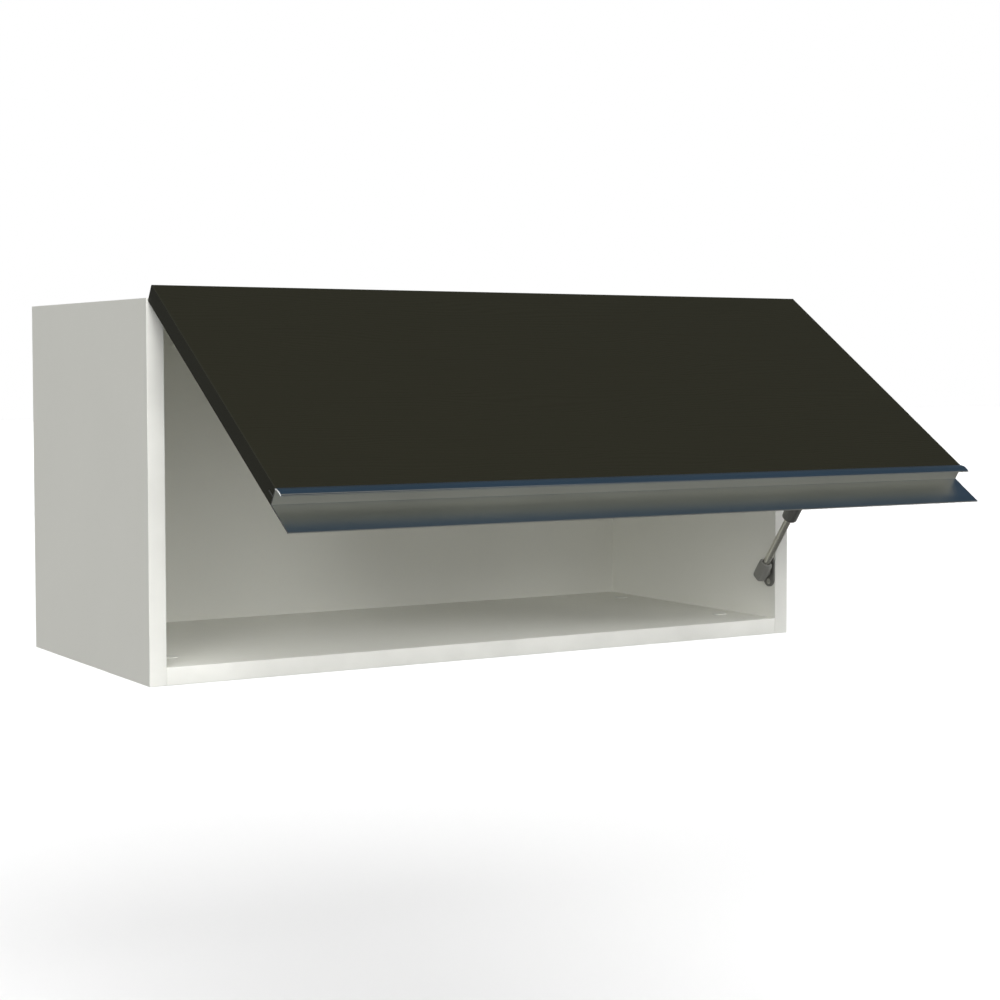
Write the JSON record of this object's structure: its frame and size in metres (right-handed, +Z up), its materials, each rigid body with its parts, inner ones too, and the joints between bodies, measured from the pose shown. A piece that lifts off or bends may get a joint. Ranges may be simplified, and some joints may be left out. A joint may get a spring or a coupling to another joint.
{
  "type": "lift_up_wall_cabinet",
  "caption": "Wide lift-up wall cabinet in white board with a dark top-hung door, a full-width finger profile along its lower edge, leaf hinges and a gas strut inside",
  "frame": {"origin": "midway between the centres of the two wall screw holes, on the back face that lies against the wall", "axes": "+Z up, the door faces -Y, +X to the right as seen from the front"},
  "size_m": [0.8, 0.6719, 0.3964],
  "materials": {
    "white_board": "white melamine-faced board, satin",
    "white_band": "white edge band, satin",
    "back_board": "thin white-faced fibreboard",
    "zinc_alloy": "die-cast zinc alloy",
    "zinc_plated_steel": "bright zinc plating",
    "beech": "plain beech",
    "white_plastic": "white cover caps",
    "hinge_steel": "nickel-plated sheet",
    "black_board": "black melamine with a fine embossed grain along the width",
    "black_band": "black edge band, satin",
    "anodised_aluminium": "dark satin anodised extrusion",
    "dark_painted_steel": "dark grey satin paint",
    "ball_steel": "plain steel",
    "dark_plastic": "dark grey moulded plastic",
    "rod_steel": "ground and polished rod",
    "guide_plastic": "pale guide and seal"
  },
  "bodies": {
    "carcass": {"side_panel_left": "white_board", "side_panel_right": "white_board", "top_panel": "white_board", "bottom_panel": "white_board", "back_panel": "back_board", "hanging_rail": "white_board", "side_edge_band_left": "white_band", "side_edge_band_right": "white_band", "top_edge_band": "white_band", "bottom_edge_band": "white_band", "cam_locks": "zinc_alloy", "cam_bolts": "zinc_plated_steel", "panel_dowels": "beech", "rail_dowels": "beech", "cam_caps": "white_plastic", "back_nails": "zinc_plated_steel", "hinge_left_fixed_leaf": "hinge_steel", "hinge_right_fixed_leaf": "hinge_steel", "hinge_left_pin": "hinge_steel", "hinge_right_pin": "hinge_steel", "hinge_fixed_screws": "zinc_plated_steel", "strut_side_bracket": "dark_painted_steel", "strut_side_ball_stud": "ball_steel", "strut_side_screws": "zinc_plated_steel"},
    "door": {"hinge_left_door_leaf": "hinge_steel", "hinge_right_door_leaf": "hinge_steel", "hinge_door_screws": "zinc_plated_steel", "door_panel": "black_board", "door_edge_band_left": "black_band", "door_edge_band_right": "black_band", "door_edge_band_top": "black_band", "handle_profile": "anodised_aluminium", "strut_door_bracket": "dark_painted_steel", "strut_door_stud": "ball_steel", "strut_door_screws": "zinc_plated_steel"},
    "strut_rod_end": {"strut_rod_socket": "dark_plastic", "strut_rod": "rod_steel", "strut_piston": "ball_steel"},
    "strut_cylinder_end": {"strut_cylinder": "dark_painted_steel", "strut_rod_guide": "guide_plastic", "strut_cylinder_socket": "dark_plastic"}
  },
  "joints": [
    {"name": "door_lift", "type": "hinge", "parent": "carcass", "child": "door", "pos_m": [0, -0.3512, 0.0485], "axis": [-1, 0, 0], "range_deg": [-57.1, 0]},
    {"name": "strut_swing", "type": "hinge", "parent": "carcass", "child": "strut_rod_end", "pos_m": [0.3702, -0.34, -0.257], "axis": [1, 0, 0], "range_deg": [-63.88, 0]},
    {"name": "strut_extend", "type": "slide", "parent": "strut_rod_end", "child": "strut_cylinder_end", "axis": [0, -0.6052, 0.7961], "range_m": [-0.03344, 0]}
  ],
  "couplings": [
    {"joint": "strut_swing", "follows": "door_lift", "ratio": 1.1181},
    {"joint": "strut_extend", "follows": "door_lift", "m_per_rad": 0.033452}
  ]
}
